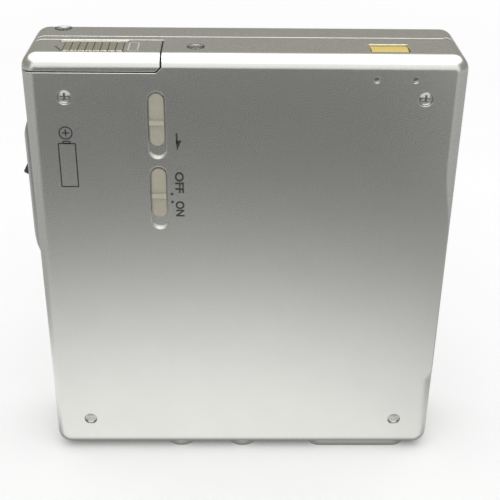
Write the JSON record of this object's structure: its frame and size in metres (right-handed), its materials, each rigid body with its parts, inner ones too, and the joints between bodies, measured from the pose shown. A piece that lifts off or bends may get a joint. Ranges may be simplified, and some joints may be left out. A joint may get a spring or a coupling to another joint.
{
  "type": "portable minidisc player",
  "caption": "Pocket disc recorder and player in a satin metal case with a hinged lid over a cartridge bay, slide switches, a jog lever, a sliding battery door and plug sockets",
  "frame": {"origin": "bottom centre of the bounding box, the case stands on its jack end", "axes": "+X across the case toward the hinge side, +Y from the underside to the lid, +Z from the jack end to the battery door end"},
  "size_m": [0.0742, 0.0172, 0.0798],
  "materials": {
    "case_aluminium": "satin",
    "panel_silver": "satin",
    "black_plastic": "matte",
    "red_plastic": "matte",
    "yellow_plastic": "satin",
    "cream_plastic": "satin",
    "grey_plastic": "satin",
    "steel": "polished",
    "pressed_steel": "satin",
    "contact_metal": "satin",
    "copper_coils": "matte",
    "board_green": "satin",
    "battery_skin": "satin",
    "rubber": "matte",
    "window": "gloss",
    "lens_glass": "gloss"
  },
  "bodies": {
    "case": {"bottom_cover": "case_aluminium", "main_chassis": "black_plastic", "front_panel": "panel_silver", "control_block": "panel_silver", "rear_panel": "panel_silver", "hinge_block": "panel_silver", "hinge_pin": "steel", "jack_panel": "panel_silver", "phones_jack": "black_plastic", "line_in_jack": "black_plastic", "mic_jack": "red_plastic", "remote_contacts": "contact_metal", "dc_jack": "black_plastic", "dc_jack_pin": "steel", "main_board": "board_green", "board_chips": "black_plastic", "gumstick_battery": "battery_skin", "battery_spring": "pressed_steel", "case_terminals": "contact_metal", "corner_screws": "steel", "end_screw": "steel", "mechanism_plate": "pressed_steel", "damper_bushes": "rubber", "spindle_stator": "copper_coils", "sled_motor": "steel", "guide_rods": "steel", "rod_brackets": "black_plastic", "slide_switches": "black_plastic"},
    "lid": {"lid_cover": "case_aluminium", "disc_holder": "pressed_steel", "display_window": "window", "lcd_panel": "window", "lid_screws": "steel", "head_rail": "pressed_steel"},
    "head": {"head_carriage": "black_plastic", "record_head": "contact_metal"},
    "hold": {"hold_knob": "cream_plastic"},
    "record_switch": {"record_knob": "cream_plastic"},
    "door_slide": {"door_slider": "black_plastic"},
    "door": {"battery_door": "case_aluminium", "door_contact": "pressed_steel"},
    "lever": {"jog_lever": "black_plastic"},
    "stop": {"stop_key": "grey_plastic"},
    "pause": {"pause_key": "grey_plastic"},
    "record": {"record_key": "red_plastic"},
    "opener": {"open_slider": "grey_plastic"},
    "spindle": {"rotor": "steel", "turntable": "black_plastic"},
    "sled": {"pickup_base": "black_plastic", "objective_lens": "lens_glass"},
    "screw": {"lead_screw": "steel"},
    "flap": {"dc_flap": "yellow_plastic"}
  },
  "joints": [
    {"name": "lid_hinge", "type": "hinge", "parent": "case", "child": "lid", "pos_m": [0.0351, 0.00655, 0.0341], "axis": [0, 0, -1], "range_deg": [0, 30]},
    {"name": "sled_travel", "type": "slide", "parent": "case", "child": "sled", "axis": [0, 0, 1], "range_m": [0, 0.0165]},
    {"name": "lead_screw_turn", "type": "hinge", "parent": "case", "child": "screw", "pos_m": [0.0166, -0.00125, 0.06085], "axis": [0, 0, 1], "range_deg": [0, 1980]},
    {"name": "head_travel", "type": "slide", "parent": "lid", "child": "head", "axis": [0, 0, 1], "range_m": [0, 0.0165]},
    {"name": "spindle_spin", "type": "hinge", "parent": "case", "child": "spindle", "pos_m": [0.0011, -0.00055, 0.0403], "axis": [0, 1, 0], "continuous": true},
    {"name": "hold_slide", "type": "slide", "parent": "case", "child": "hold", "axis": [0, 0, -1], "range_m": [0, 0.0019]},
    {"name": "record_switch_slide", "type": "slide", "parent": "case", "child": "record_switch", "axis": [0, 0, -1], "range_m": [0, 0.0019]},
    {"name": "battery_door_slide", "type": "slide", "parent": "case", "child": "door_slide", "axis": [-1, 0, 0], "range_m": [0, 0.0025]},
    {"name": "battery_door_swing", "type": "hinge", "parent": "door_slide", "child": "door", "pos_m": [-0.02375, -0.00095, 0.0793], "axis": [-1, 0, 0], "range_deg": [0, 100]},
    {"name": "jog_lever_rock", "type": "hinge", "parent": "case", "child": "lever", "pos_m": [-0.0347, -0.00195, 0.05725], "axis": [0, 1, 0], "range_deg": [-8, 8], "stiffness_Nm_per_rad": 0.002},
    {"name": "stop_key_press", "type": "slide", "parent": "case", "child": "stop", "axis": [1, 0, 0], "range_m": [0, 0.0004], "stiffness_N_per_m": 200, "springref_m": -0.0004},
    {"name": "pause_key_press", "type": "slide", "parent": "case", "child": "pause", "axis": [1, 0, 0], "range_m": [0, 0.0004], "stiffness_N_per_m": 200, "springref_m": -0.0004},
    {"name": "record_key_press", "type": "slide", "parent": "case", "child": "record", "axis": [1, 0, 0], "range_m": [0, 0.0004], "stiffness_N_per_m": 200, "springref_m": -0.0004},
    {"name": "open_slide", "type": "slide", "parent": "case", "child": "opener", "axis": [0, 0, 1], "range_m": [0, 0.0032], "stiffness_N_per_m": 30, "springref_m": -0.001},
    {"name": "dc_flap_swing", "type": "hinge", "parent": "case", "child": "flap", "pos_m": [0.0245, -0.0023, 0.0792], "axis": [1, 0, 0], "range_deg": [0, 75], "stiffness_Nm_per_rad": 0.0001, "springref_deg": -28.65}
  ],
  "couplings": [
    {"joint": "lead_screw_turn", "follows": "sled_travel", "rad_per_m": 2094.4},
    {"joint": "head_travel", "follows": "sled_travel", "ratio": 1}
  ]
}
